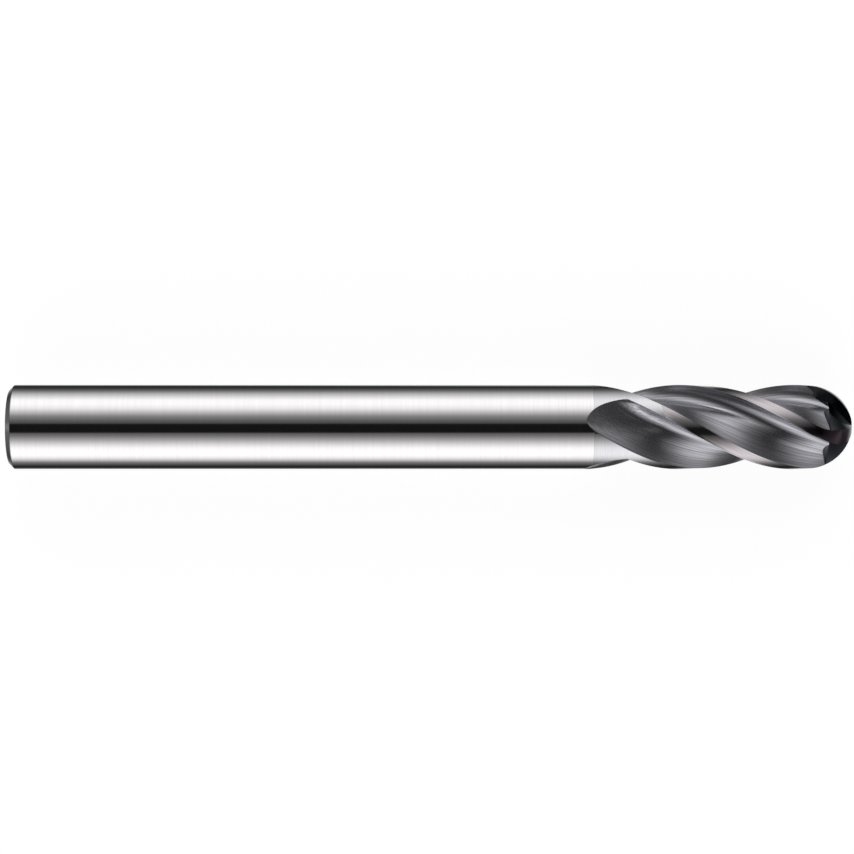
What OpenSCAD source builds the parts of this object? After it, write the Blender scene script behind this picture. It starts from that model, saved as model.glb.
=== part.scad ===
// Four-flute ball-nose end mill, long series, with a carbide head brazed into a plain steel shank.
// Origin at the centre of the back end face, +X along the tool axis to the tip, +Z up. Millimetres.
// Angles round the axis run from +Y towards +Z and grow towards the tip, as on any right-hand helix.

/* [Overall] */
// Diameter of the shank and of the cutting end
tool_d = 10; // [9:0.5:12]
// Length from the back end face to the tip of the ball
overall_l = 100; // [90:1:130]
// Exposed length of the carbide head, from the joint ring to the tip
head_l = 30.8; // [30:0.1:36]

/* [Shank] */
// Chamfer of the back end, measured along the axis
back_chamfer = 0.6; // [0.2:0.1:1.2]

/* [Brazed joint] */
// Diameter of the head's spigot
spigot_d = 6; // [5:0.1:6.5]
// Length of the spigot inside the shank
spigot_l = 12; // [8:0.5:18]
// Thickness of the braze film round the spigot and between the shoulders
braze_gap = 0.05; // [0.05:0.01:0.15]
// Chamfer of the spigot's end
spigot_chamfer = 0.5; // [0.2:0.1:1]

/* [Flutes] */
// Number of flutes and teeth
flutes = 4; // [4:1:4]
// Helix angle, right hand
helix_angle = 30; // [25:1:35]
// Where the first cutting edge stands round the axis at the ball's centre
edge_angle = 13.3; // [0:0.1:90]
// Width of each tooth's land, as an angle round the axis
land_angle = 16; // [14:1:20]
// Positive radial rake of each cutting edge
rake_angle = 10; // [6:1:14]
// Straight part of the rake face
rake_l = 0.6; // [0.4:0.1:0.8]
// Radius of the flute's floor beside the rake face
floor_r = 1.4; // [1.2:0.1:1.6]
// Length of cut, from the tip to where the relief of the lands starts
cutting_l = 23; // [18:0.5:25]
// Drop of each land from its cutting edge to its heel
land_relief = 0.1; // [0.05:0.05:0.2]

/* [Flute run-out] */
// How far each flute's end scoops past the joint ring into the shank
scoop_l = 1.1; // [0.6:0.1:1.4]
// How far the run-out's front leans forward from heel to cutting edge
runout_lean = 5; // [3:0.5:6]
// Length over which the floor climbs out of the blank
runout_l = 6; // [4:0.5:8]

/* [Ball end] */
// Distance from the tip at which the gashes begin
gash_l = 6; // [5.5:0.5:7]
// Angle of each gash's root to the tool axis
gash_angle = 49; // [45:1:55]
// Angle of the gash, from the rake face to its floor
gash_opening = 84; // [75:1:90]
// Distance of the gash roots' meeting point behind the tip
gash_depth = 0.5; // [0.3:0.1:0.8]
// Radius of the web that is left at the centre
web_r = 0.4; // [0.3:0.05:0.6]

/* [Hidden] */
$fn = 96;

tool_r = tool_d / 2;
spigot_r = spigot_d / 2;
socket_r = spigot_r + braze_gap;
joint_x = overall_l - head_l;
shoulder_x = joint_x - braze_gap;
socket_x = joint_x - spigot_l - braze_gap;
ball_x = overall_l - tool_r;
relief_x = overall_l - cutting_l;
gash_x = overall_l - gash_l;
runout_x = joint_x - scoop_l;

pitch_angle = 360 / flutes;
heel_angle = pitch_angle - land_angle;
lead = PI * tool_d / tan(helix_angle);

// The sweep's steps: round the floor, up the back, and along the run-out, the flutes and the ball
floor_steps = 6;
back_steps = 7;
runout_step = 0.4;
flute_step = 0.9;
ball_steps = 20;
// The relief starts over this short step, and the last ring stands this far behind the tip
relief_step = 0.05;
tip_flat = 0.03;
// Points of each land between its heel and the next edge, as shares of its width
land_shares = [0.35, 0.7];
// Power of the curve that the run-out's front follows, and of the wheel's way out of the blank
front_power = 1.8;
lift_power = 2;
// First angle after the cutting edge on the ball
first_ball_angle = 1;
// The spigot's round bar runs on into the head by this much
spigot_root = 0.5;
// Round cutter that leaves the end of each flute in the shank, and its place between edge and heel
scoop_r = 4;
scoop_depth = 0.2;
scoop_place = 0.78;

shank_grey = "silver";
carbide_grey = "#46464c";
braze_yellow = "#b9a77a";

function mix(a, b, t) = a + (b - a) * t;

// Where the first cutting edge stands at a place along the axis
function edge_turn(x) = edge_angle + 360 * (x - ball_x) / lead;

// One flute across the axis, its cutting edge on the first axis: straight rake face, round floor,
// and a straight back that leaves the floor along its tangent and ends at the heel
edge = [tool_r, 0];
floor_centre = edge - rake_l * [cos(rake_angle), sin(rake_angle)]
    + floor_r * [-sin(rake_angle), cos(rake_angle)];
heel = tool_r * [cos(heel_angle), sin(heel_angle)];
to_heel = heel - floor_centre;
floor_start = rake_angle - 90;
floor_end = atan2(to_heel[1], to_heel[0]) + acos(floor_r / norm(to_heel)) - 360;
floor_arc = [for (i = [0:floor_steps])
    let (a = mix(floor_start, floor_end, i / floor_steps))
    floor_centre + floor_r * [cos(a), sin(a)]];
back_line = [for (i = [1:back_steps]) mix(floor_arc[floor_steps], heel, i / back_steps)];
// The same outline as [radius, angle from the cutting edge]
flute_outline = [for (p = concat([edge], floor_arc, back_line)) [norm(p), atan2(p[1], p[0])]];

// The front of the run-out leans from the heel, where the flute ends last, to the cutting edge
function front_x(a) = runout_x + runout_lean * pow(max(0, 1 - a / heel_angle), front_power);
// Share of the full depth at one place: a parabola, as a grinding wheel leaves it
function depth_share(x, a) =
    let (u = (x - front_x(a)) / runout_l)
    u >= 1 ? 1 : u <= 0 ? 0 : 1 - pow(1 - u, lift_power);

// Radius of the round blank: a cylinder that ends in the ball
function blank_radius(x) = x <= ball_x ? tool_r : sqrt(max(0, tool_r * tool_r - pow(x - ball_x, 2)));

// Depth of the gash's root from the axis, and the radius of its straight floor at an angle
// from the cutting edge
function gash_root(x) = max(0, overall_l - gash_depth - x) * tan(gash_angle);
function gash_radius(x, a) =
    a >= gash_opening - 1 ? tool_d
        : max(web_r, gash_root(x) * sin(gash_opening) / sin(gash_opening - max(0, a)));
// Where that floor comes out of the ball, which is the heel of the tooth there
function gash_heel(x) =
    let (s = gash_root(x) * sin(gash_opening) / max(0.1, blank_radius(x)))
    s >= 1 ? 0 : gash_opening - asin(s);

// The flute's back is a straight line across the axis: its distance and the direction square to it
back_normal = floor_end + 180;
back_distance = heel * [cos(back_normal), sin(back_normal)];
floor_end_angle = flute_outline[floor_steps + 1][1];
// Radius of the flute's outline at an angle from the cutting edge
function flute_radius(a) =
    let (along = floor_centre * [cos(a), sin(a)])
    a < floor_end_angle
        ? along - sqrt(max(0, floor_r * floor_r - floor_centre * floor_centre + along * along))
        : back_distance / cos(a - back_normal);
// Where the flute's back comes out of the ball
function flute_heel(x) =
    let (r = blank_radius(x))
    r <= back_distance ? 0 : back_normal + acos(back_distance / r);

// The flute's outline on the ball, spread evenly from the rake face to the heel
last_point = len(flute_outline) - 1;
function ball_point(x, i) =
    let (heel_a = max(flute_heel(x), gash_heel(x)),
         a = mix(first_ball_angle, heel_a, (i - 1) / (last_point - 1)),
         blank = blank_radius(x))
    i == 0 ? [blank, 0]
        : i == last_point ? [blank, heel_a]
        : [min(blank, flute_radius(a), gash_radius(x, a)), a];

// The flute's outline along the straight part, with the run-out's share of its depth. Where nothing
// is cut, the points of the undercut rake face spread out so that they keep their order.
function flute_point(x, i, drop) =
    let (p = flute_outline[i],
         share = depth_share(x, p[1]),
         spread = i > floor_steps ? p[1] : floor_end_angle * i / (floor_steps + 1),
         limit = i == last_point ? tool_r - drop : tool_r)
    [min(limit, tool_r - (tool_r - p[0]) * share), mix(spread, p[1], share)];

// The head across the axis at one place: for each tooth the flute's outline, then the relieved land
function head_ring(x) =
    let (blank = blank_radius(x),
         drop = x < relief_x ? 0 : land_relief,
         on_ball = min(1, max(0, (x - gash_x) / (ball_x - gash_x))))
    [for (k = [0:flutes - 1])
        let (turn = edge_turn(x) + k * pitch_angle,
             flute = [for (i = [0:last_point])
                 mix(flute_point(x, i, drop), ball_point(x, i), on_ball)],
             land_start = flute[last_point][1],
             land = [for (t = land_shares)
                 [min(blank, tool_r - drop * (1 - t)), mix(land_start, pitch_angle, t)]])
        for (p = concat(flute, land))
            [p[0] * cos(p[1] + turn), p[0] * sin(p[1] + turn), x]];

// A closed solid through rings of points, each ring with the same number of points
module swept(rings) {
    n = len(rings[0]);
    last = len(rings) - 1;
    sides = [for (k = [0:last - 1], i = [0:n - 1])
        let (j = (i + 1) % n)
        each [[k * n + i, (k + 1) * n + i, k * n + j], [k * n + j, (k + 1) * n + i, (k + 1) * n + j]]];
    back_centre = (last + 1) * n;
    caps = [for (i = [0:n - 1])
        let (j = (i + 1) % n)
        each [[back_centre, i, j], [back_centre + 1, last * n + j, last * n + i]]];
    polyhedron(
        points = concat([for (ring = rings) each ring],
            [[0, 0, rings[0][0][2]], [0, 0, overall_l]]),
        faces = concat(sides, caps),
        convexity = 6);
}

// The fluted end in front of the joint ring, from the run-outs to the tip of the ball
module ground_end() {
    stations = concat(
        [for (x = [joint_x:runout_step:relief_x - runout_step / 2]) x],
        [relief_x - relief_step, relief_x],
        [for (x = [relief_x + flute_step:flute_step:gash_x - flute_step / 2]) x],
        [for (x = [gash_x:flute_step / 2:ball_x - flute_step / 4]) x],
        [for (i = [0:ball_steps]) ball_x + (tool_r - tip_flat) * sin(90 * i / ball_steps)]);
    swept([for (x = stations) head_ring(x)]);
}

// The very end of each flute, left in the shank where the grinding wheel lifts out
module flute_scoops() {
    scoop_angle = edge_turn(joint_x) + scoop_place * heel_angle;
    for (k = [0:flutes - 1])
        rotate([0, 0, scoop_angle + k * pitch_angle])
            translate([tool_r - scoop_depth + scoop_r, 0, joint_x + scoop_l / 2])
                sphere(scoop_r);
}

// Turns a solid modelled along the third axis so that it lies along +X
module along_x() {
    rotate([90, 0, 90]) children();
}

module shank() {
    color(shank_grey) along_x()
        difference() {
            rotate_extrude()
                polygon([
                    [0, 0],
                    [tool_r - back_chamfer, 0],
                    [tool_r, back_chamfer],
                    [tool_r, shoulder_x],
                    [socket_r, shoulder_x],
                    [socket_r, socket_x + spigot_chamfer],
                    [socket_r - spigot_chamfer, socket_x],
                    [0, socket_x]]);
            flute_scoops();
        }
}

module braze_joint() {
    color(braze_yellow) along_x()
        difference() {
            rotate_extrude()
                polygon([
                    [0, socket_x],
                    [socket_r - spigot_chamfer, socket_x],
                    [socket_r, socket_x + spigot_chamfer],
                    [socket_r, shoulder_x],
                    [tool_r, shoulder_x],
                    [tool_r, joint_x],
                    [spigot_r, joint_x],
                    [spigot_r, socket_x + braze_gap + spigot_chamfer],
                    [spigot_r - spigot_chamfer, socket_x + braze_gap],
                    [0, socket_x + braze_gap]]);
            flute_scoops();
        }
}

module cutting_head() {
    color(carbide_grey) along_x() {
        rotate_extrude()
            polygon([
                [0, socket_x + braze_gap],
                [spigot_r - spigot_chamfer, socket_x + braze_gap],
                [spigot_r, socket_x + braze_gap + spigot_chamfer],
                [spigot_r, joint_x + spigot_root],
                [0, joint_x + spigot_root]]);
        ground_end();
    }
}

shank();
braze_joint();
cutting_head();
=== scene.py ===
"""A four-flute ball-nose end mill: its turned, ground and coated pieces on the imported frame.

Every length in this file is in millimetres until a mesh is made, and the meshes are in metres, in
the frame's own axes: +X along the tool to the tip of its ball, +Z up. Angles round the axis run
from +Y towards +Z and grow towards the tip, as on any right-hand helix.
"""

import logging
import math
from collections.abc import Callable, Sequence
from dataclasses import dataclass
from enum import Enum, IntEnum
from typing import Any

import bpy
import numpy as np
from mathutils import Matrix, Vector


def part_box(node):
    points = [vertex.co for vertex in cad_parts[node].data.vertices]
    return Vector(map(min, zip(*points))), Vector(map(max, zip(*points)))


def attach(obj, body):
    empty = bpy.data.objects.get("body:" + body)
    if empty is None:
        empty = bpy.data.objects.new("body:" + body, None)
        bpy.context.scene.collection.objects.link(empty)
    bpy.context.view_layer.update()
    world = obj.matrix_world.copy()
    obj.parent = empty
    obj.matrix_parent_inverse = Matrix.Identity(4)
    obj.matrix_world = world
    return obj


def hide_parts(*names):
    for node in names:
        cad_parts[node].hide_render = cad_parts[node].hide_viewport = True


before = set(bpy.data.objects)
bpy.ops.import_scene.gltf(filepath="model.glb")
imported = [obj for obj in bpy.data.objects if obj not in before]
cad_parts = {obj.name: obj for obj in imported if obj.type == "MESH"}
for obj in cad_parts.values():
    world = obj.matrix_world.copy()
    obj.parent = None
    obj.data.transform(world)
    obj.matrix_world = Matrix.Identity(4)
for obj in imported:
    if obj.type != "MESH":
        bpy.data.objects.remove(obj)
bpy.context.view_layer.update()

MM = 0.001
BODY = "root"
LOG = logging.getLogger("end_mill")


# ---------------------------------------------------------------- sizes


@dataclass(frozen=True)
class ToolSizes:
    """The tool's driving sizes in mm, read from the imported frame.

    Attributes:
        tip: Distance from the back end face to the tip of the ball.
        radius: Radius of the shank and of the cutting end.
        shoulder: Where the shank's front shoulder stands.
        joint: Where the head's back shoulder stands, at the joint ring.
        socket: Where the blind socket ends.
        spigot_end: Where the head's spigot ends.
    """

    tip: float
    radius: float
    shoulder: float
    joint: float
    socket: float
    spigot_end: float

    @classmethod
    def from_frame(cls) -> "ToolSizes":
        """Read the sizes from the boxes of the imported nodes."""
        shank, braze, head = (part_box(name) for name in ("shank", "braze_joint", "cutting_head"))
        return cls(
            tip=head[1][0] / MM,
            radius=shank[1][2] / MM,
            shoulder=shank[1][0] / MM,
            joint=braze[1][0] / MM,
            socket=braze[0][0] / MM,
            spigot_end=head[0][0] / MM,
        )

    @property
    def film(self) -> float:
        """Thickness of the braze film."""
        return self.joint - self.shoulder

    @property
    def spigot_radius(self) -> float:
        """Radius of the spigot, six tenths of the tool's."""
        return 0.6 * self.radius

    @property
    def socket_radius(self) -> float:
        """Radius of the socket, one film wider than the spigot."""
        return self.spigot_radius + self.film

    @property
    def ball_centre(self) -> float:
        """Where the ball's centre stands on the axis."""
        return self.tip - self.radius


@dataclass(frozen=True)
class FluteForm:
    """How the flutes and the lands between them are ground, lengths in mm and angles in degrees.

    Attributes:
        count: Number of flutes.
        helix: Helix angle.
        edge_angle: Where the first cutting edge stands round the axis at the ball's centre.
        land_angle: Width of each land round the axis.
        rake: Positive rake of the cutting edge.
        rake_length: Straight part of the rake face.
        floor_radius: Radius of the flute's floor.
        crest_normal: Angle of the normal where the floor meets the back, from the cutting edge.
        crest_bend: How far the back turns over its soft crest.
        crest_share: Share of the back that the crest takes up.
        scoop: How far each flute ends behind the joint ring.
        lean: How far the run-out's front leans forward from heel to edge.
        lean_power: How late that lean sets in.
        corner: How far the run-out's front is rounded forward at the heel.
        corner_share: Share of the flute's width that this rounding takes up.
        climb: Length over which the floor climbs out of the blank.
    """

    count: int = 4
    helix: float = 30.0
    edge_angle: float = 13.3
    land_angle: float = 16.0
    rake: float = 10.0
    rake_length: float = 0.6
    floor_radius: float = 1.4
    crest_normal: float = 10.0
    crest_bend: float = 12.6
    crest_share: float = 0.35
    scoop: float = 1.1
    lean: float = 5.0
    lean_power: float = 1.8
    corner: float = 1.3
    corner_share: float = 0.13
    climb: float = 6.0

    @property
    def pitch(self) -> float:
        """Angle from one cutting edge to the next."""
        return 360.0 / self.count

    @property
    def heel(self) -> float:
        """Angle from a cutting edge over the flute to the heel of the next land."""
        return self.pitch - self.land_angle

    def lead(self, radius: float) -> float:
        """Give the lead of the helix in mm on a tool of a radius in mm."""
        return 2 * math.pi * radius / math.tan(math.radians(self.helix))


@dataclass(frozen=True)
class ReliefForm:
    """How the lands are relieved, lengths in mm and angles in degrees.

    Attributes:
        cut_length: Distance from the tip to where the relief of the lands starts.
        drop: Drop of each land from edge to heel.
        slant: How much further forward the relief starts at the edge than at the heel.
        slant_length: Length over which that slant fades.
        width: How far the wheel reaches back from one edge towards the other, over the flute.
        ball_width: The same on the ball, where the lands are wider.
        ball_fade: Length over which it widens there.
        overlap: How far the wheel reaches past the edge.
        edge_gap: How far it stays clear of the blank past the edge.
    """

    cut_length: float = 23.0
    drop: float = 0.1
    slant: float = 0.5
    slant_length: float = 3.0
    width: float = 60.0
    ball_width: float = 42.0
    ball_fade: float = 2.0
    overlap: float = 2.0
    edge_gap: float = 0.05


@dataclass(frozen=True)
class GashForm:
    """How the gashes of the ball are ground, lengths in mm and angles in degrees.

    Attributes:
        start: Distance from the tip where a gash starts to reach behind the flute's rake face.
        fade: Length over which it gets there.
        rake_back: How far the gash's rake face stands behind the flute's.
        reach: Distance from the tip where the gash's floor meets the flute's back.
        root: Distance from the axis, on the rake face, where the floor starts there.
        fall: How much the root falls in each mm from there towards the tip.
        fall_growth: How much faster it falls with each further mm.
        rise: How much the root rises in each mm from there away from the tip.
        rise_growth: How much faster it rises with each further mm.
        core: Least distance of the root from the axis.
        heel_gap: How far the floor's end stands before the flute's heel.
        heel_turn: How much further before it the floor ends with each mm towards the tip.
        least_blank: Least radius of the blank to which the floor is aimed.
    """

    start: float = 5.5
    fade: float = 1.2
    rake_back: float = 2.5
    reach: float = 3.0
    root: float = 3.22
    fall: float = 0.85
    fall_growth: float = 0.04
    rise: float = 0.05
    rise_growth: float = 0.17
    core: float = 0.3
    heel_gap: float = 3.7
    heel_turn: float = 7.0
    least_blank: float = 0.6


# ---------------------------------------------------------------- modelling by hand


def activate(piece: bpy.types.Object) -> None:
    """Select one object alone and make it the active one.

    Args:
        piece: The object to work on.
    """
    if bpy.context.mode != "OBJECT":
        bpy.ops.object.mode_set(mode="OBJECT")
    bpy.ops.object.select_all(action="DESELECT")
    piece.select_set(True)
    bpy.context.view_layer.objects.active = piece


def deselect_all() -> None:
    """Deselect everything, because loading the frame leaves its nodes selected."""
    bpy.ops.object.select_all(action="DESELECT")


def give_slots(piece: bpy.types.Object, materials: Sequence[bpy.types.Material]) -> None:
    """Give a piece the materials in the order of the slots, so that its cuts keep their slots.

    Args:
        piece: The mesh object.
        materials: Materials in the order of the slots.
    """
    for material in materials:
        piece.data.materials.append(material)


def clean_mesh(piece: bpy.types.Object, merge: float = 1e-4) -> None:
    """Merge doubled points, close open ends and turn the faces outwards.

    Args:
        piece: The mesh object.
        merge: Distance in mm under which points become one.
    """
    activate(piece)
    bpy.ops.object.mode_set(mode="EDIT")
    bpy.ops.mesh.select_all(action="SELECT")
    bpy.ops.mesh.remove_doubles(threshold=merge * MM)
    bpy.ops.mesh.fill_holes(sides=0)
    bpy.ops.mesh.select_all(action="SELECT")
    bpy.ops.mesh.normals_make_consistent(inside=False)
    bpy.ops.object.mode_set(mode="OBJECT")


def turned(
    name: str,
    profile: Sequence[tuple[float, float]],
    materials: Sequence[bpy.types.Material],
    steps: int = 256,
) -> bpy.types.Object:
    """Turn a profile round the tool's axis, as on a lathe.

    Args:
        name: Name of the new piece.
        profile: Points (place along the axis, radius) in mm, both ends on the axis.
        materials: Materials in the order of the slots.
        steps: Facets round the axis.

    Returns:
        The closed piece of revolution.
    """
    # One point is drawn out along the profile, then the profile is spun
    bpy.ops.mesh.primitive_plane_add(size=MM)
    piece = bpy.context.active_object
    piece.name = name
    give_slots(piece, materials)
    bpy.ops.object.mode_set(mode="EDIT")
    bpy.ops.mesh.select_all(action="SELECT")
    bpy.ops.mesh.merge(type="CENTER")
    bpy.ops.transform.translate(value=(profile[0][0] * MM, profile[0][1] * MM, 0))
    for (x, radius), (next_x, next_radius) in zip(profile, profile[1:]):
        step = ((next_x - x) * MM, (next_radius - radius) * MM, 0)
        bpy.ops.mesh.extrude_vertices_move(TRANSFORM_OT_translate={"value": step})
    bpy.ops.mesh.select_all(action="SELECT")
    bpy.ops.mesh.spin(steps=steps, dupli=False, angle=2 * math.pi, center=(0, 0, 0), axis=(1, 0, 0))
    bpy.ops.object.mode_set(mode="OBJECT")
    clean_mesh(piece)
    return piece


def laid_grid(
    name: str,
    rows: int,
    columns: int,
    place: Callable[[np.ndarray, np.ndarray], np.ndarray],
    slot: int,
    materials: Sequence[bpy.types.Material],
) -> bpy.types.Object:
    """Lay a flat grid onto a closed tube of rings and close its two ends.

    Args:
        name: Name of the new cutter.
        rows: Number of rings along the tube.
        columns: Number of points in a ring; the last one meets the first.
        place: Gives the points in mm for arrays of row and column numbers.
        slot: Material slot of its faces.
        materials: Materials in the order of the slots.

    Returns:
        The closed solid.
    """
    bpy.ops.mesh.primitive_grid_add(x_subdivisions=columns, y_subdivisions=rows - 1, size=1.0)
    piece = bpy.context.active_object
    piece.name = name
    mesh = piece.data
    flat = np.empty(len(mesh.vertices) * 3)
    mesh.vertices.foreach_get("co", flat)
    flat = flat.reshape(-1, 3) + 0.5
    column = np.rint(flat[:, 0] * columns).astype(int) % columns
    row = np.rint(flat[:, 1] * (rows - 1)).astype(int)
    mesh.vertices.foreach_set("co", (place(row, column) * MM).ravel())
    give_slots(piece, materials)
    clean_mesh(piece)
    mesh.polygons.foreach_set("material_index", [slot] * len(mesh.polygons))
    return piece


def turned_copies(piece: bpy.types.Object, count: int) -> list[bpy.types.Object]:
    """Copy a cutter round the tool's axis, each copy with its own mesh.

    Args:
        piece: The first cutter.
        count: How many there are in all.

    Returns:
        All of them, the first one included.
    """
    copies = [piece]
    for k in range(1, count):
        activate(piece)
        bpy.ops.object.duplicate(linked=False)
        copy = bpy.context.active_object
        copy.rotation_euler = (2 * math.pi * k / count, 0, 0)
        bpy.ops.object.transform_apply(location=True, rotation=True, scale=True)
        copies.append(copy)
    return copies


def joined(pieces: Sequence[bpy.types.Object]) -> bpy.types.Object:
    """Join cutters that don't touch into one object.

    Args:
        pieces: The cutters.

    Returns:
        The one object.
    """
    activate(pieces[0])
    for piece in pieces:
        piece.select_set(True)
    bpy.ops.object.join()
    return bpy.context.active_object


def cut(piece: bpy.types.Object, cutter: bpy.types.Object) -> None:
    """Take a cutter out of a piece; the cut faces keep the cutter's material slot.

    Args:
        piece: The piece that is ground.
        cutter: A closed solid with the same slots.
    """
    activate(piece)
    bpy.ops.object.modifier_add(type="BOOLEAN")
    modifier = piece.modifiers[-1]
    modifier.operation = "DIFFERENCE"
    modifier.solver = "MANIFOLD"
    modifier.object = cutter
    bpy.ops.object.modifier_apply(modifier=modifier.name)


def finish_edges(piece: bpy.types.Object, sharp: float = 12.0) -> None:
    """Shade smooth with the ground edges kept sharp.

    Args:
        piece: The finished piece.
        sharp: Angle in degrees above which an edge stays sharp.
    """
    activate(piece)
    bpy.ops.object.shade_smooth_by_angle(angle=math.radians(sharp))


def discard(*pieces: bpy.types.Object) -> None:
    """Remove cutters that have done their work.

    Args:
        *pieces: The cutters.
    """
    for piece in pieces:
        bpy.data.meshes.remove(piece.data)


# ---------------------------------------------------------------- materials


def linear(hex_colour: str) -> tuple[float, float, float, float]:
    """Turn an sRGB hex colour into the linear colour that a socket takes.

    Args:
        hex_colour: Colour as # and six hex digits.

    Returns:
        Linear red, green and blue, and full opacity.
    """
    channels = [int(hex_colour[i:i + 2], 16) / 255 for i in (1, 3, 5)]
    curve = [c / 12.92 if c <= 0.04045 else ((c + 0.055) / 1.055) ** 2.4 for c in channels]
    return (curve[0], curve[1], curve[2], 1.0)


def add(
    tree: bpy.types.NodeTree, kind: str, inputs: dict[Any, Any] | None = None, **settings: Any
) -> Any:
    """Add a node with its settings and links.

    Args:
        tree: The node tree.
        kind: The node's type.
        inputs: Value or linked socket for each input, by name or number.
        **settings: Properties of the node.

    Returns:
        The new node.
    """
    node = tree.nodes.new(kind)
    for name, value in settings.items():
        setattr(node, name, value)
    for key, value in (inputs or {}).items():
        socket = node.inputs[key]
        if isinstance(value, bpy.types.NodeSocket):
            tree.links.new(value, socket)
        else:
            socket.default_value = value
    return node


class Lay(Enum):
    """Which way the marks of the last process run."""

    ROUND = "round the axis"
    HELIX = "along the helix"


@dataclass(frozen=True)
class MetalFinish:
    """One ground metal surface.

    The marks are drawn coarser than the wheel's real grit, as coarse as they need to be seen.

    Attributes:
        name: Name of the material.
        colour: Main colour as sRGB hex.
        streak: Colour of its deepest grinding marks as sRGB hex.
        roughness: Mean roughness.
        roughness_swing: How far the marks move the roughness up and down.
        mark_width: Width of the marks in mm.
        mark_length: Length of the marks in mm.
        depth: Depth of the marks in mm.
        lay: Which way the marks run.
        streak_share: How strongly the marks colour the surface.
        metallic: Share of metallic reflection; a ceramic film has a little less than all.
        painted_nose_shade: Colour painted over the ball as shade, where the lands turn away from the soft
            boxes, as sRGB hex, if any.
        nose_shade_before: How far behind the ball's centre that painted shade sets in, in mm.
        nose_shade_fade: Length in mm over which the painted shade fades in.
    """

    name: str
    colour: str
    streak: str
    roughness: float
    roughness_swing: float
    mark_width: float
    mark_length: float
    depth: float
    lay: Lay
    streak_share: float = 0.5
    painted_nose_shade: str | None = None
    nose_shade_before: float = 2.0
    nose_shade_fade: float = 3.0
    metallic: float = 1.0

    def marks(self, tree: bpy.types.NodeTree, lead: float) -> Any:
        """Add the pattern of the grinding marks and return its value socket.

        Args:
            tree: The material's node tree.
            lead: Lead of the helix in mm.

        Returns:
            A socket that runs from 0 to 1 across the marks.
        """
        place = add(tree, "ShaderNodeTexCoord").outputs["Object"]
        apart = add(tree, "ShaderNodeSeparateXYZ", {0: place})
        if self.lay is Lay.HELIX:
            turn = add(
                tree, "ShaderNodeMath",
                {0: apart.outputs["X"], 1: -2 * math.pi / (lead * MM)}, operation="MULTIPLY",
            ).outputs[0]
            place = add(
                tree, "ShaderNodeVectorRotate",
                {"Vector": place, "Angle": turn}, rotation_type="X_AXIS",
            ).outputs[0]
        fine, coarse = 1 / (self.mark_width * MM), 1 / (self.mark_length * MM)
        scale = {Lay.ROUND: (fine, coarse, coarse), Lay.HELIX: (coarse, fine, fine)}[self.lay]
        stretched = add(
            tree, "ShaderNodeMapping", {"Vector": place, "Scale": scale}, vector_type="POINT"
        ).outputs[0]
        noise = add(
            tree, "ShaderNodeTexNoise",
            {"Vector": stretched, "Scale": 1.0, "Detail": 3.0, "Roughness": 0.6},
        )
        return add(
            tree, "ShaderNodeMapRange",
            {"Value": noise.outputs[0], "From Min": 0.3, "From Max": 0.7},
        ).outputs[0]

    def build(self, lead: float, ball_centre: float) -> bpy.types.Material:
        """Make the material.

        Args:
            lead: Lead of the helix in mm, which the marks may follow.
            ball_centre: Place of the ball's centre along the axis in mm.

        Returns:
            The node-based material.
        """
        material = bpy.data.materials.new(self.name)
        material.use_nodes = True
        tree = material.node_tree
        shader = tree.nodes["Principled BSDF"]
        shader.inputs["Metallic"].default_value = self.metallic
        marks = self.marks(tree, lead)
        share = add(tree, "ShaderNodeMath", {0: marks, 1: self.streak_share}, operation="MULTIPLY")
        blend = add(
            tree, "ShaderNodeMix",
            {"Factor": share.outputs[0], "A": linear(self.colour), "B": linear(self.streak)},
            data_type="RGBA",
        )
        colour = blend.outputs["Result"]
        # Painted shade: over the ball the colour turns to the darker nose colour, standing in for the
        # dark that the ball's lands reflect where they turn away from the soft boxes
        if self.painted_nose_shade:
            place = add(tree, "ShaderNodeTexCoord").outputs["Object"]
            along = add(tree, "ShaderNodeSeparateXYZ", {0: place}).outputs["X"]
            shade_start = ball_centre - self.nose_shade_before
            shade_end = shade_start + self.nose_shade_fade
            in_nose_shade = add(
                tree, "ShaderNodeMapRange",
                {"Value": along, "From Min": shade_start * MM, "From Max": shade_end * MM},
                interpolation_type="SMOOTHSTEP",
            ).outputs[0]
            colour = add(
                tree, "ShaderNodeMix",
                {"Factor": in_nose_shade, "A": colour, "B": linear(self.painted_nose_shade)}, data_type="RGBA",
            ).outputs["Result"]
        tree.links.new(colour, shader.inputs["Base Color"])
        rough = add(
            tree, "ShaderNodeMapRange",
            {"Value": marks, "To Min": self.roughness - self.roughness_swing,
             "To Max": self.roughness + self.roughness_swing},
        )
        tree.links.new(rough.outputs[0], shader.inputs["Roughness"])
        bump = add(
            tree, "ShaderNodeBump",
            {"Height": marks, "Strength": 1.0, "Distance": self.depth * MM},
        )
        tree.links.new(bump.outputs[0], shader.inputs["Normal"])
        return material


# Steel ground between centres and polished: a mirror with faint rings round the axis
SHANK_STEEL = MetalFinish(
    name="mirror_ground_hardened_steel", colour="#f2f0f1", streak="#dedbdc", roughness=0.09,
    roughness_swing=0.02, mark_width=0.2, mark_length=9.0, depth=0.00001, lay=Lay.ROUND,
    streak_share=0.25,
)
# Carbide ground fine but not polished: slightly duller and cooler than the shank
BARE_CARBIDE = MetalFinish(
    name="fine_ground_bare_carbide", colour="#dedee1", streak="#c3c3c8", roughness=0.15,
    roughness_swing=0.04, mark_width=0.10, mark_length=4.0, depth=0.00004, lay=Lay.ROUND,
    streak_share=0.4,
)
# Coated flute: dark slate film over the long marks that the flute wheel leaves
COATED_FLUTE = MetalFinish(
    name="coated_flute_wheel_ground", colour="#dadae0", streak="#7d7c84", roughness=0.25,
    roughness_swing=0.06, mark_width=0.16, mark_length=9.0, depth=0.002, lay=Lay.HELIX,
    streak_share=0.8, metallic=0.85,
)
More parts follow.
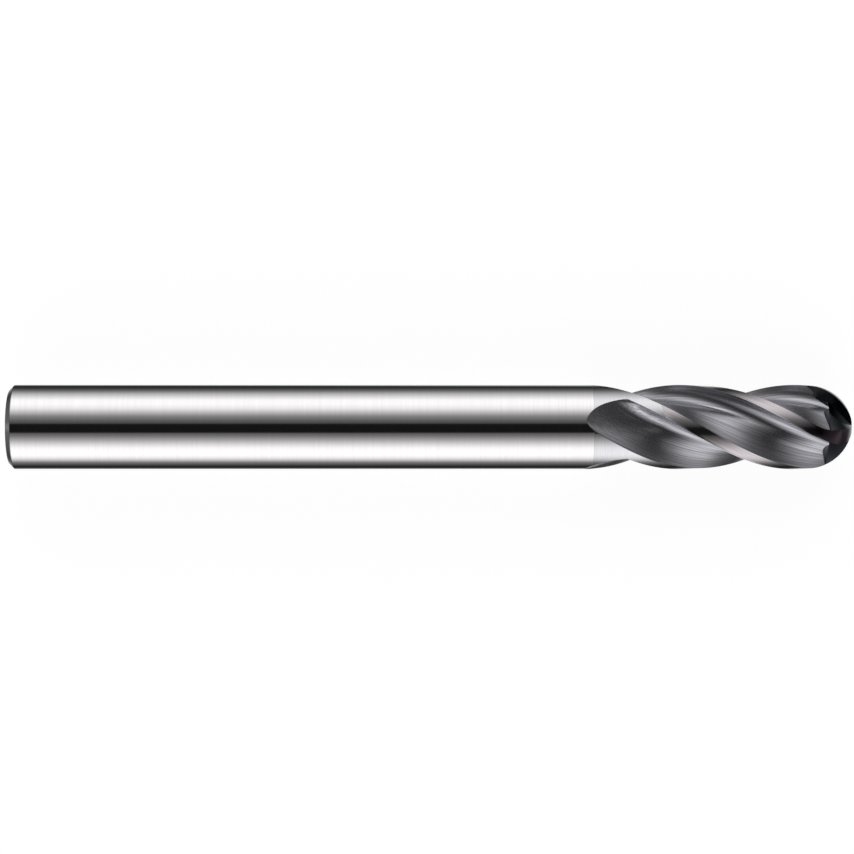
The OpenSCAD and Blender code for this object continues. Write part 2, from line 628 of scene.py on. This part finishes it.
# Coated relief land: the same film over a finer grind, glossier and warmer; over the ball its colour
# turns to a painted shade, dark purplish brown
COATED_LAND_WITH_NOSE_SHADE = MetalFinish(
    name="coated_land_fine_ground_painted_nose_shade", colour="#d0cacd", streak="#948b90", roughness=0.17,
    roughness_swing=0.04, mark_width=0.12, mark_length=5.0, depth=0.0004, lay=Lay.HELIX,
    streak_share=0.6, painted_nose_shade="#625660",
)
# Gash and rake face of the ball: nearly black, smooth film
COATED_GASH = MetalFinish(
    name="coated_gash_smooth", colour="#66696f", streak="#46474d", roughness=0.16,
    roughness_swing=0.04, mark_width=0.10, mark_length=3.0, depth=0.0003, lay=Lay.ROUND,
    streak_share=0.6,
)
# Silver solder ground flush with both pieces
BRAZE_FILM = MetalFinish(
    name="silver_braze_ground_flush", colour="#d3cdc0", streak="#aea593", roughness=0.25,
    roughness_swing=0.05, mark_width=0.10, mark_length=3.0, depth=0.0001, lay=Lay.ROUND,
)


class Slot(IntEnum):
    """Order of the material slots on every ground piece and on its cutters."""

    BODY = 0
    FLUTE = 1
    LAND = 2
    GASH = 3


# ---------------------------------------------------------------- what the wheels take away


@dataclass
class GrindingWheels:
    """Makes the solids that the grinding wheels take out of the blank.

    Attributes:
        sizes: The tool's sizes.
        materials: Materials in the order of the slots.
        form: How the flutes are ground.
        relief: How the lands are relieved.
        gash: How the gashes are ground.
        stand_off: How far the flute and gash cutters' outsides clear the blank, in mm.
        floor_steps: Facets of a flute's round floor.
        back_steps: Facets of a flute's back.
        cover_points: Points of a flute cutter's outside.
        relief_points: Points of a relief cutter's inside and of its outside.
        gash_points: Points of a gash cutter's rake face, floor and outside.
    """

    sizes: ToolSizes
    materials: Sequence[bpy.types.Material]
    form: FluteForm = FluteForm()
    relief: ReliefForm = ReliefForm()
    gash: GashForm = GashForm()
    stand_off: float = 1.2
    floor_steps: int = 40
    back_steps: int = 24
    cover_points: int = 11
    relief_points: tuple[int, int] = (13, 7)
    gash_points: tuple[int, int, int] = (12, 24, 8)

    def edge_turn(self, x: np.ndarray) -> np.ndarray:
        """Give the angle of the first cutting edge at places along the axis.

        Args:
            x: Places along the axis.

        Returns:
            Angles in degrees.
        """
        lead = self.form.lead(self.sizes.radius)
        return self.form.edge_angle + 360.0 * (x - self.sizes.ball_centre) / lead

    def blank_radius(self, x: np.ndarray) -> np.ndarray:
        """Give the radius of the round-nosed blank at places along the axis.

        Args:
            x: Places along the axis.

        Returns:
            Radii in mm.
        """
        past = np.clip(x - self.sizes.ball_centre, 0, self.sizes.radius)
        return np.sqrt(self.sizes.radius ** 2 - past ** 2)

    def polar(self, x: np.ndarray, radius: np.ndarray, angle: np.ndarray) -> np.ndarray:
        """Turn place, radius and angle from the cutting edge into points.

        Args:
            x: Places along the axis.
            radius: Distances from the axis.
            angle: Angles in degrees from the first cutting edge.

        Returns:
            Rows of three coordinates in mm.
        """
        turn = np.radians(angle + self.edge_turn(x))
        return np.column_stack([x, radius * np.cos(turn), radius * np.sin(turn)])

    def flute_outline(self) -> np.ndarray:
        """Draw one flute across the axis: rake face, round floor and back up to the heel.

        Returns:
            Rows of radius in mm and angle from the cutting edge in degrees.
        """
        form, radius = self.form, self.sizes.radius
        rake, crest = math.radians(form.rake), math.radians(form.crest_normal)
        edge = np.array([radius, 0.0])
        rake_end = edge - form.rake_length * np.array([math.cos(rake), math.sin(rake)])
        centre = rake_end + form.floor_radius * np.array([-math.sin(rake), math.cos(rake)])
        sweep = np.linspace(rake - math.pi / 2, crest - math.pi, self.floor_steps + 1)
        floor = centre + form.floor_radius * np.column_stack([np.cos(sweep), np.sin(sweep)])
        heel_angle = math.radians(form.heel)
        heel = radius * np.array([math.cos(heel_angle), math.sin(heel_angle)])
        # The back leaves the floor over a soft crest, then runs on nearly straight
        rise = np.clip(np.linspace(0, 1, self.back_steps + 1) / form.crest_share, 0, 1)
        bend = math.radians(form.crest_bend) * rise ** 2 * (3 - 2 * rise)
        turn = crest + bend + math.pi / 2
        steps = np.exp(1j * (turn[1:] + turn[:-1]) / 2)
        run = np.cumsum(steps) / steps.sum() * complex(*(heel - floor[-1]))
        back = floor[-1] + np.column_stack([run.real, run.imag])
        points = np.vstack([edge, (edge + rake_end) / 2, floor, back])
        angles = np.degrees(np.arctan2(points[:, 1], points[:, 0]))
        return np.column_stack([np.hypot(*points.T), angles])

    def run_out_share(self, x: np.ndarray, angle: np.ndarray) -> np.ndarray:
        """Give the share of the flute's full depth, negative behind its end.

        Args:
            x: Places along the axis.
            angle: Angles from the cutting edge.

        Returns:
            1 along the flute, falling on a parabola to 0 at the run-out's front and below it behind.
        """
        form = self.form
        from_heel = np.clip(1 - angle / form.heel, 0, 1)
        corner = form.corner * np.clip(1 - from_heel / form.corner_share, 0, 1) ** 2
        front = self.sizes.joint - form.scoop + form.lean * from_heel ** form.lean_power + corner
        left = np.clip(1 - (x - front) / form.climb, 0, None)
        return 1 - left ** 2

    def flutes(self) -> bpy.types.Object:
        """Make what the flute wheel takes out, for all flutes in one object.

        Returns:
            The cutter.
        """
        sizes, form = self.sizes, self.form
        overlap, past_tip = 3, 1
        behind_joint, run_out_length = 2.4, 9
        run_out_step, flute_step = 0.15, 0.25
        lift, highest = 0.2, sizes.radius + 0.8
        outline = self.flute_outline()
        floor_end = self.floor_steps + 2
        cover = np.linspace(form.heel + overlap, -overlap, self.cover_points)
        outside = np.column_stack([np.full(self.cover_points, sizes.radius + self.stand_off), cover])
        ring = np.vstack([outline, outside])
        run_out_end = sizes.joint + run_out_length
        stations = np.concatenate([
            np.arange(sizes.joint - behind_joint, run_out_end, run_out_step),
            np.arange(run_out_end, sizes.tip + past_tip, flute_step),
        ])

        def place(row: np.ndarray, column: np.ndarray) -> np.ndarray:
            """Give the points; where the flute runs out, its floor spreads evenly and lifts."""
            x, radius, angle = stations[row], ring[column, 0], ring[column, 1]
            inside = column < len(outline)
            evenly = np.where(column <= floor_end, outline[floor_end, 1] * column / floor_end, angle)
            share = self.run_out_share(x, evenly)
            above = lift * np.clip(-share, 0, None)
            lifted = sizes.radius - (sizes.radius - radius) * share + above
            fanned = evenly + (angle - evenly) * np.clip(share, 0, 1)
            return self.polar(
                x,
                np.where(inside, np.minimum(lifted, highest), radius),
                np.where(inside, fanned, angle),
            )

        first = laid_grid("flute_wheel", len(stations), len(ring), place, Slot.FLUTE, self.materials)
        return joined(turned_copies(first, form.count))

    def reliefs(self) -> bpy.types.Object:
        """Make what the relief grind takes off the lands and the ball's teeth.

        Returns:
            The cutter.
        """
        sizes, form, relief = self.sizes, self.form, self.relief
        start = sizes.tip - relief.cut_length
        inside_points, outside_points = self.relief_points
        face, step, ball_steps, clear = 0.02, 0.4, 46, 0.6
        ball = np.sin(np.radians(np.linspace(0, 90, ball_steps)))
        stations = np.concatenate([
            [start, start + face],
            np.arange(start + clear, sizes.ball_centre, step),
            sizes.ball_centre + (sizes.radius - face) * ball,
        ])

        def place(row: np.ndarray, column: np.ndarray) -> np.ndarray:
            """Give the points, inside from the edge back over the flute and outside again."""
            x = stations[row]
            on_ball = np.clip((x - sizes.ball_centre) / relief.ball_fade, 0, 1)
            last = form.pitch + relief.overlap
            foremost = relief.width + (relief.ball_width - relief.width) * on_ball
            down = np.clip(column / (inside_points - 1), 0, 1)
            up = np.clip((column - inside_points + 1) / outside_points, 0, 1)
            angle = last + (foremost - last) * (down - up)
            behind = np.clip(form.pitch - angle, 0, None) / form.land_angle
            blank = self.blank_radius(x)
            gap = np.where(angle > form.pitch, relief.edge_gap, 0)
            inner = blank * (1 - relief.drop / sizes.radius * behind) + gap
            at_start = np.clip(1 - (x - start) / relief.slant_length, 0, 1)
            slant = relief.slant * (1 - np.clip(behind, 0, 1)) * at_start
            radius = np.where(column < inside_points, inner, blank + clear)
            return self.polar(x + slant, radius, angle)

        columns = inside_points + outside_points
        first = laid_grid("relief_wheel", len(stations), columns, place, Slot.LAND, self.materials)
        return joined(turned_copies(first, form.count))

    def gashes(self) -> list[bpy.types.Object]:
        """Make what the gash wheel takes out in front of each tooth of the ball.

        Returns:
            One cutter for each tooth.
        """
        sizes, gash = self.sizes, self.gash
        far = sizes.radius + self.stand_off
        rake_points, floor_points, cover_points = self.gash_points
        margin, past_tip, step = 0.1, 0.4, 0.1
        stations = np.arange(sizes.tip - gash.start - margin, sizes.tip + past_tip, step)

        def place(row: np.ndarray, column: np.ndarray) -> np.ndarray:
            """Give the points down the rake face, out along the floor and back outside."""
            x = stations[row]
            behind_tip = sizes.tip - x
            into = np.clip(gash.reach - behind_tip, 0, None)
            before = np.clip(behind_tip - gash.reach, 0, None)
            fall = gash.fall * into + gash.fall_growth * into ** 2
            rise = gash.rise * before + gash.rise_growth * before ** 2
            root = np.maximum(gash.root - fall + rise, gash.core)
            back = -gash.rake_back * np.clip((gash.start - behind_tip) / gash.fade, 0, 1)
            blank = np.maximum(self.blank_radius(x), gash.least_blank)
            heel = np.radians(self.form.heel - gash.heel_gap - back - gash.heel_turn * into)
            opening = np.arctan2(blank * np.sin(heel), blank * np.cos(heel) - root)
            share_rake = np.clip((rake_points - column) / rake_points, 0, 1)
            share_floor = np.clip((column - rake_points) / floor_points, 0, 1)
            share_cover = np.clip((column - rake_points - floor_points) / cover_points, 0, 1)
            widest = opening - np.arcsin(np.clip(root * np.sin(opening) / far, 0, 1))
            floor_angle = widest * share_floor
            floor_radius = root * np.sin(opening) / np.sin(opening - floor_angle)
            on_rake = column <= rake_points
            on_floor = (column > rake_points) & (column <= rake_points + floor_points)
            rake_radius = root + (far - root) * share_rake
            radius = np.where(on_rake, rake_radius, np.where(on_floor, floor_radius, far))
            cover_angle = widest * (1 - share_cover)
            angle = np.where(on_rake, 0, np.where(on_floor, floor_angle, cover_angle))
            return self.polar(x, radius, np.degrees(angle) + back)

        columns = sum(self.gash_points)
        first = laid_grid("gash_wheel", len(stations), columns, place, Slot.GASH, self.materials)
        return turned_copies(first, self.form.count)


# ---------------------------------------------------------------- the pieces


def hand_over(piece: bpy.types.Object, node: str) -> None:
    """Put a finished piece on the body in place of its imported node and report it.

    Args:
        piece: The finished piece.
        node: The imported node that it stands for.
    """
    finish_edges(piece)
    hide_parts(node)
    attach(piece, BODY)
    LOG.info("%s: %d faces", piece.name, len(piece.data.polygons))


@dataclass
class Shank:
    """The plain ground shank with its chamfered back end and its blind socket.

    Attributes:
        sizes: The tool's sizes.
        materials: Materials in the order of the slots.
        chamfer: Chamfer of the back end, in mm.
        soft: How far each edge of that chamfer is broken, in mm.
        socket_chamfer: Chamfer at the socket's end, in mm.
    """

    sizes: ToolSizes
    materials: Sequence[bpy.types.Material]
    chamfer: float = 0.6
    soft: float = 0.05
    socket_chamfer: float = 0.5

    def build(self, flute_cutter: bpy.types.Object) -> bpy.types.Object:
        """Turn the bar and let the flutes scoop into its front.

        Args:
            flute_cutter: What the flute wheel takes out.

        Returns:
            The finished shank.
        """
        s, soft = self.sizes, self.soft
        piece = turned("ground_shank", [
            (0, 0),
            (0, s.radius - self.chamfer - soft),
            (soft / 2, s.radius - self.chamfer),
            (self.chamfer - soft / 2, s.radius - soft / 2),
            (self.chamfer + soft, s.radius),
            (s.shoulder, s.radius),
            (s.shoulder, s.socket_radius),
            (s.socket + self.socket_chamfer, s.socket_radius),
            (s.socket, s.socket_radius - self.socket_chamfer),
            (s.socket, 0),
        ], self.materials)
        cut(piece, flute_cutter)
        return piece


@dataclass
class BrazeJoint:
    """The silver film between spigot and socket and between the two shoulders.

    Attributes:
        sizes: The tool's sizes.
        materials: Materials in the order of the slots.
        socket_chamfer: Chamfer at the socket's end, in mm.
    """

    sizes: ToolSizes
    materials: Sequence[bpy.types.Material]
    socket_chamfer: float = 0.5

    def build(self, flute_cutter: bpy.types.Object) -> bpy.types.Object:
        """Turn the film and cut its rim flush with the flutes.

        Args:
            flute_cutter: What the flute wheel takes out.

        Returns:
            The finished film.
        """
        s = self.sizes
        piece = turned("braze_film", [
            (s.socket, 0),
            (s.socket, s.socket_radius - self.socket_chamfer),
            (s.socket + self.socket_chamfer, s.socket_radius),
            (s.shoulder, s.socket_radius),
            (s.shoulder, s.radius),
            (s.joint, s.radius),
            (s.joint, s.spigot_radius),
            (s.spigot_end + self.socket_chamfer, s.spigot_radius),
            (s.spigot_end, s.spigot_radius - self.socket_chamfer),
            (s.spigot_end, 0),
        ], self.materials)
        cut(piece, flute_cutter)
        return piece


@dataclass
class CuttingHead:
    """The carbide head: spigot, fluted cylinder and ball with its gashes.

    Attributes:
        sizes: The tool's sizes.
        wheels: The grinding wheels that shape it.
        spigot_chamfer: Chamfer of the spigot's end, in mm.
        ball_points: Points of the ball's profile.
    """

    sizes: ToolSizes
    wheels: GrindingWheels
    spigot_chamfer: float = 0.5
    ball_points: int = 61

    def blank(self) -> bpy.types.Object:
        """Turn the round-nosed blank with its spigot.

        Returns:
            The blank.
        """
        s = self.sizes
        ball = [
            (s.ball_centre + s.radius * math.sin(t), s.radius * math.cos(t))
            for t in np.radians(np.linspace(0, 90, self.ball_points))
        ]
        ball[-1] = (s.tip, 0.0)
        return turned("ground_head", [
            (s.spigot_end, 0),
            (s.spigot_end, s.spigot_radius - self.spigot_chamfer),
            (s.spigot_end + self.spigot_chamfer, s.spigot_radius),
            (s.joint, s.spigot_radius),
            (s.joint, s.radius),
            *ball,
        ], self.wheels.materials)

    def build(self, flute_cutter: bpy.types.Object) -> bpy.types.Object:
        """Grind the flutes, the reliefs and the gashes out of the blank.

        Args:
            flute_cutter: What the flute wheel takes out.

        Returns:
            The finished head.
        """
        piece = self.blank()
        reliefs = self.wheels.reliefs()
        gashes = self.wheels.gashes()
        for cutter in (flute_cutter, reliefs, *gashes):
            cut(piece, cutter)
        discard(reliefs, *gashes)
        return piece


# ---------------------------------------------------------------- studio


def fill_ramp(ramp: bpy.types.ColorRamp, stops: Sequence[tuple[float, float]]) -> None:
    """Set the stops of a ramp.

    Args:
        ramp: The ramp, as new.
        stops: For each stop its place from 0 to 1 and its grey level.
    """
    while len(ramp.elements) < len(stops):
        ramp.elements.new(0.5)
    for element, (position, level) in zip(ramp.elements, stops):
        element.position = position
        element.color = (level, level, level, 1)


@dataclass
class Studio:
    """Pale floor, soft light from both sides and the camera straight above.

    Attributes:
        sizes: The tool's sizes.
        distance: Height of the camera over the tool's axis, in mm.
        view_width: Width that the camera takes in at the axis, in mm.
        view_centre: Place along the axis at the picture's centre, in mm.
        sensor: Width of the camera's sensor, in mm.
        clip_end: Greatest distance that the camera sees, in mm.
        floor_width: Width of the square floor, in mm.
        floor_gap: Gap between the tool and the floor, in mm.
        rim_from: Where the rim light stands, as a direction from the tool.
        rim_strength: Its brightness.
    """

    sizes: ToolSizes
    distance: float = 350.0
    view_width: float = 101.48
    view_centre: float = 49.55
    sensor: float = 36.0
    clip_end: float = 10000.0
    floor_width: float = 4000.0
    floor_gap: float = 0.02
    rim_from: tuple[float, float, float] = (0.42, 0.10, -0.90)
    rim_strength: float = 0.6

    def camera(self) -> None:
        """Hang the camera over the tool, its picture's top towards +Y."""
        data = bpy.data.cameras.new("camera")
        data.sensor_width = self.sensor
        data.lens = self.sensor * self.distance / self.view_width
        data.clip_end = self.clip_end * MM
        camera = bpy.data.objects.new("camera", data)
        camera.location = (self.view_centre * MM, 0, self.distance * MM)
        bpy.context.scene.collection.objects.link(camera)
        bpy.context.scene.camera = camera

    def floor(self) -> None:
        """Lay a pale floor that the tool rests on."""
        height = -(self.sizes.radius + self.floor_gap)
        bpy.ops.mesh.primitive_plane_add(
            size=self.floor_width * MM, location=(self.view_centre * MM, 0, height * MM)
        )
        plane = bpy.context.active_object
        plane.name = "pale_floor"
        material = bpy.data.materials.new("pale_floor")
        material.use_nodes = True
        shader = material.node_tree.nodes["Principled BSDF"]
        shader.inputs["Base Color"].default_value = (0.35, 0.35, 0.35, 1)
        shader.inputs["Roughness"].default_value = 1.0
        shader.inputs["Emission Color"].default_value = (1, 1, 1, 1)
        shader.inputs["Emission Strength"].default_value = 0.9
        plane.data.materials.append(material)
        plane.visible_glossy = False
        plane.visible_diffuse = False

    def light(self) -> None:
        """Light the tool with a long soft box on each side, a dark gap overhead and a rim behind."""
        world = bpy.data.worlds.new("soft_boxes")
        bpy.context.scene.world = world
        world.use_nodes = True
        tree = world.node_tree
        tree.nodes.clear()
        direction = add(tree, "ShaderNodeTexCoord").outputs["Generated"]
        apart = add(tree, "ShaderNodeSeparateXYZ", {0: direction})
        side = add(
            tree, "ShaderNodeMath",
            {0: apart.outputs["Y"], 1: apart.outputs["Z"]}, operation="ARCTAN2",
        ).outputs[0]
        share = add(
            tree, "ShaderNodeMapRange",
            {"Value": side, "From Min": -math.pi, "From Max": math.pi},
        ).outputs[0]
        boxes_ramp = add(tree, "ShaderNodeValToRGB", {"Fac": share})
        # Degrees from overhead, towards +Y where positive, and the brightness there
        stops = [
            (-180, 0.45), (-165, 0.35), (-150, 0.02), (-136, 0.02), (-124, 0.10), (-113, 0.22),
            (-104, 0.57), (-95, 0.92), (-87, 1.12), (-80, 1.20), (-73, 1.19), (-60, 1.11),
            (-48, 0.78), (-36, 0.42), (-25, 0.195), (-16.4, 0.095), (-15.2, 0.008), (7.5, 0.008),
            (9.5, 0.063), (19, 0.134), (30, 0.26), (41.5, 0.59), (53, 0.96), (66, 1.14),
            (79, 1.12), (87, 0.90), (95, 0.70), (113, 0.25), (122, 0.11), (136, 0.03),
            (152, 0.02), (168, 0.40),
        ]
        fill_ramp(boxes_ramp.color_ramp, [((degrees + 180) / 360, level) for degrees, level in stops])
        # Share of the boxes' brightness from beside the tool to straight off its ends
        off_middle = add(tree, "ShaderNodeMath", {0: apart.outputs["X"]}, operation="ABSOLUTE").outputs[0]
        reach = add(tree, "ShaderNodeValToRGB", {"Fac": off_middle})
        reach_stops = [(0, 1), (0.2, 1), (0.45, 0.65), (0.7, 0.22), (0.85, 0.14), (1, 0.25)]
        fill_ramp(reach.color_ramp, reach_stops)
        # Plain fill from straight off both ends, whatever the height
        fill = add(tree, "ShaderNodeValToRGB", {"Fac": off_middle})
        fill_ramp(fill.color_ramp, [(0, 0), (0.5, 0), (0.75, 0.07), (1, 0.12)])
        # A soft light low behind the tip, which puts a rim on the ball
        towards_rim = add(
            tree, "ShaderNodeVectorMath",
            {0: direction, 1: self.rim_from}, operation="DOT_PRODUCT",
        ).outputs["Value"]
        rim = add(
            tree, "ShaderNodeMapRange",
            {"Value": towards_rim, "From Min": 0.80, "From Max": 0.99, "To Max": self.rim_strength},
            interpolation_type="SMOOTHSTEP",
        ).outputs[0]
        beside = add(
            tree, "ShaderNodeMath",
            {0: boxes_ramp.outputs["Color"], 1: reach.outputs["Color"]}, operation="MULTIPLY",
        ).outputs[0]
        filled = add(
            tree, "ShaderNodeMath", {0: beside, 1: fill.outputs["Color"]}, operation="ADD"
        ).outputs[0]
        level = add(tree, "ShaderNodeMath", {0: filled, 1: rim}, operation="ADD").outputs[0]
        boxes = add(tree, "ShaderNodeBackground", {"Color": (1, 1, 1, 1), "Strength": level})
        plain = add(tree, "ShaderNodeBackground", {"Color": (1, 1, 1, 1), "Strength": 1.0})
        seen = add(tree, "ShaderNodeLightPath").outputs["Is Camera Ray"]
        mixed = add(tree, "ShaderNodeMixShader", {0: seen, 1: boxes.outputs[0], 2: plain.outputs[0]})
        add(tree, "ShaderNodeOutputWorld", {"Surface": mixed.outputs[0]})

    def build(self) -> None:
        """Set up the camera, the floor, the light and the plain view of the colours."""
        self.camera()
        self.floor()
        self.light()
        bpy.context.scene.view_settings.view_transform = "Standard"


def main() -> None:
    """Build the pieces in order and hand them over."""
    logging.basicConfig(level=logging.INFO, format="%(name)s: %(message)s")
    deselect_all()
    sizes = ToolSizes.from_frame()
    Studio(sizes).build()
    lead = FluteForm().lead(sizes.radius)
    finishes = (SHANK_STEEL, BARE_CARBIDE, COATED_FLUTE, COATED_LAND_WITH_NOSE_SHADE, COATED_GASH, BRAZE_FILM)
    steel, carbide, flute, land, gash, braze = (
        finish.build(lead, sizes.ball_centre) for finish in finishes
    )
    wheels = GrindingWheels(sizes, [carbide, flute, land, gash])
    flute_cutter = wheels.flutes()
    shank = Shank(sizes, [steel, flute, land, gash]).build(flute_cutter)
    hand_over(shank, "shank")
    film = BrazeJoint(sizes, [braze, flute, land, gash]).build(flute_cutter)
    hand_over(film, "braze_joint")
    head = CuttingHead(sizes, wheels).build(flute_cutter)
    hand_over(head, "cutting_head")
    discard(flute_cutter)


if __name__ == "__main__":
    main()
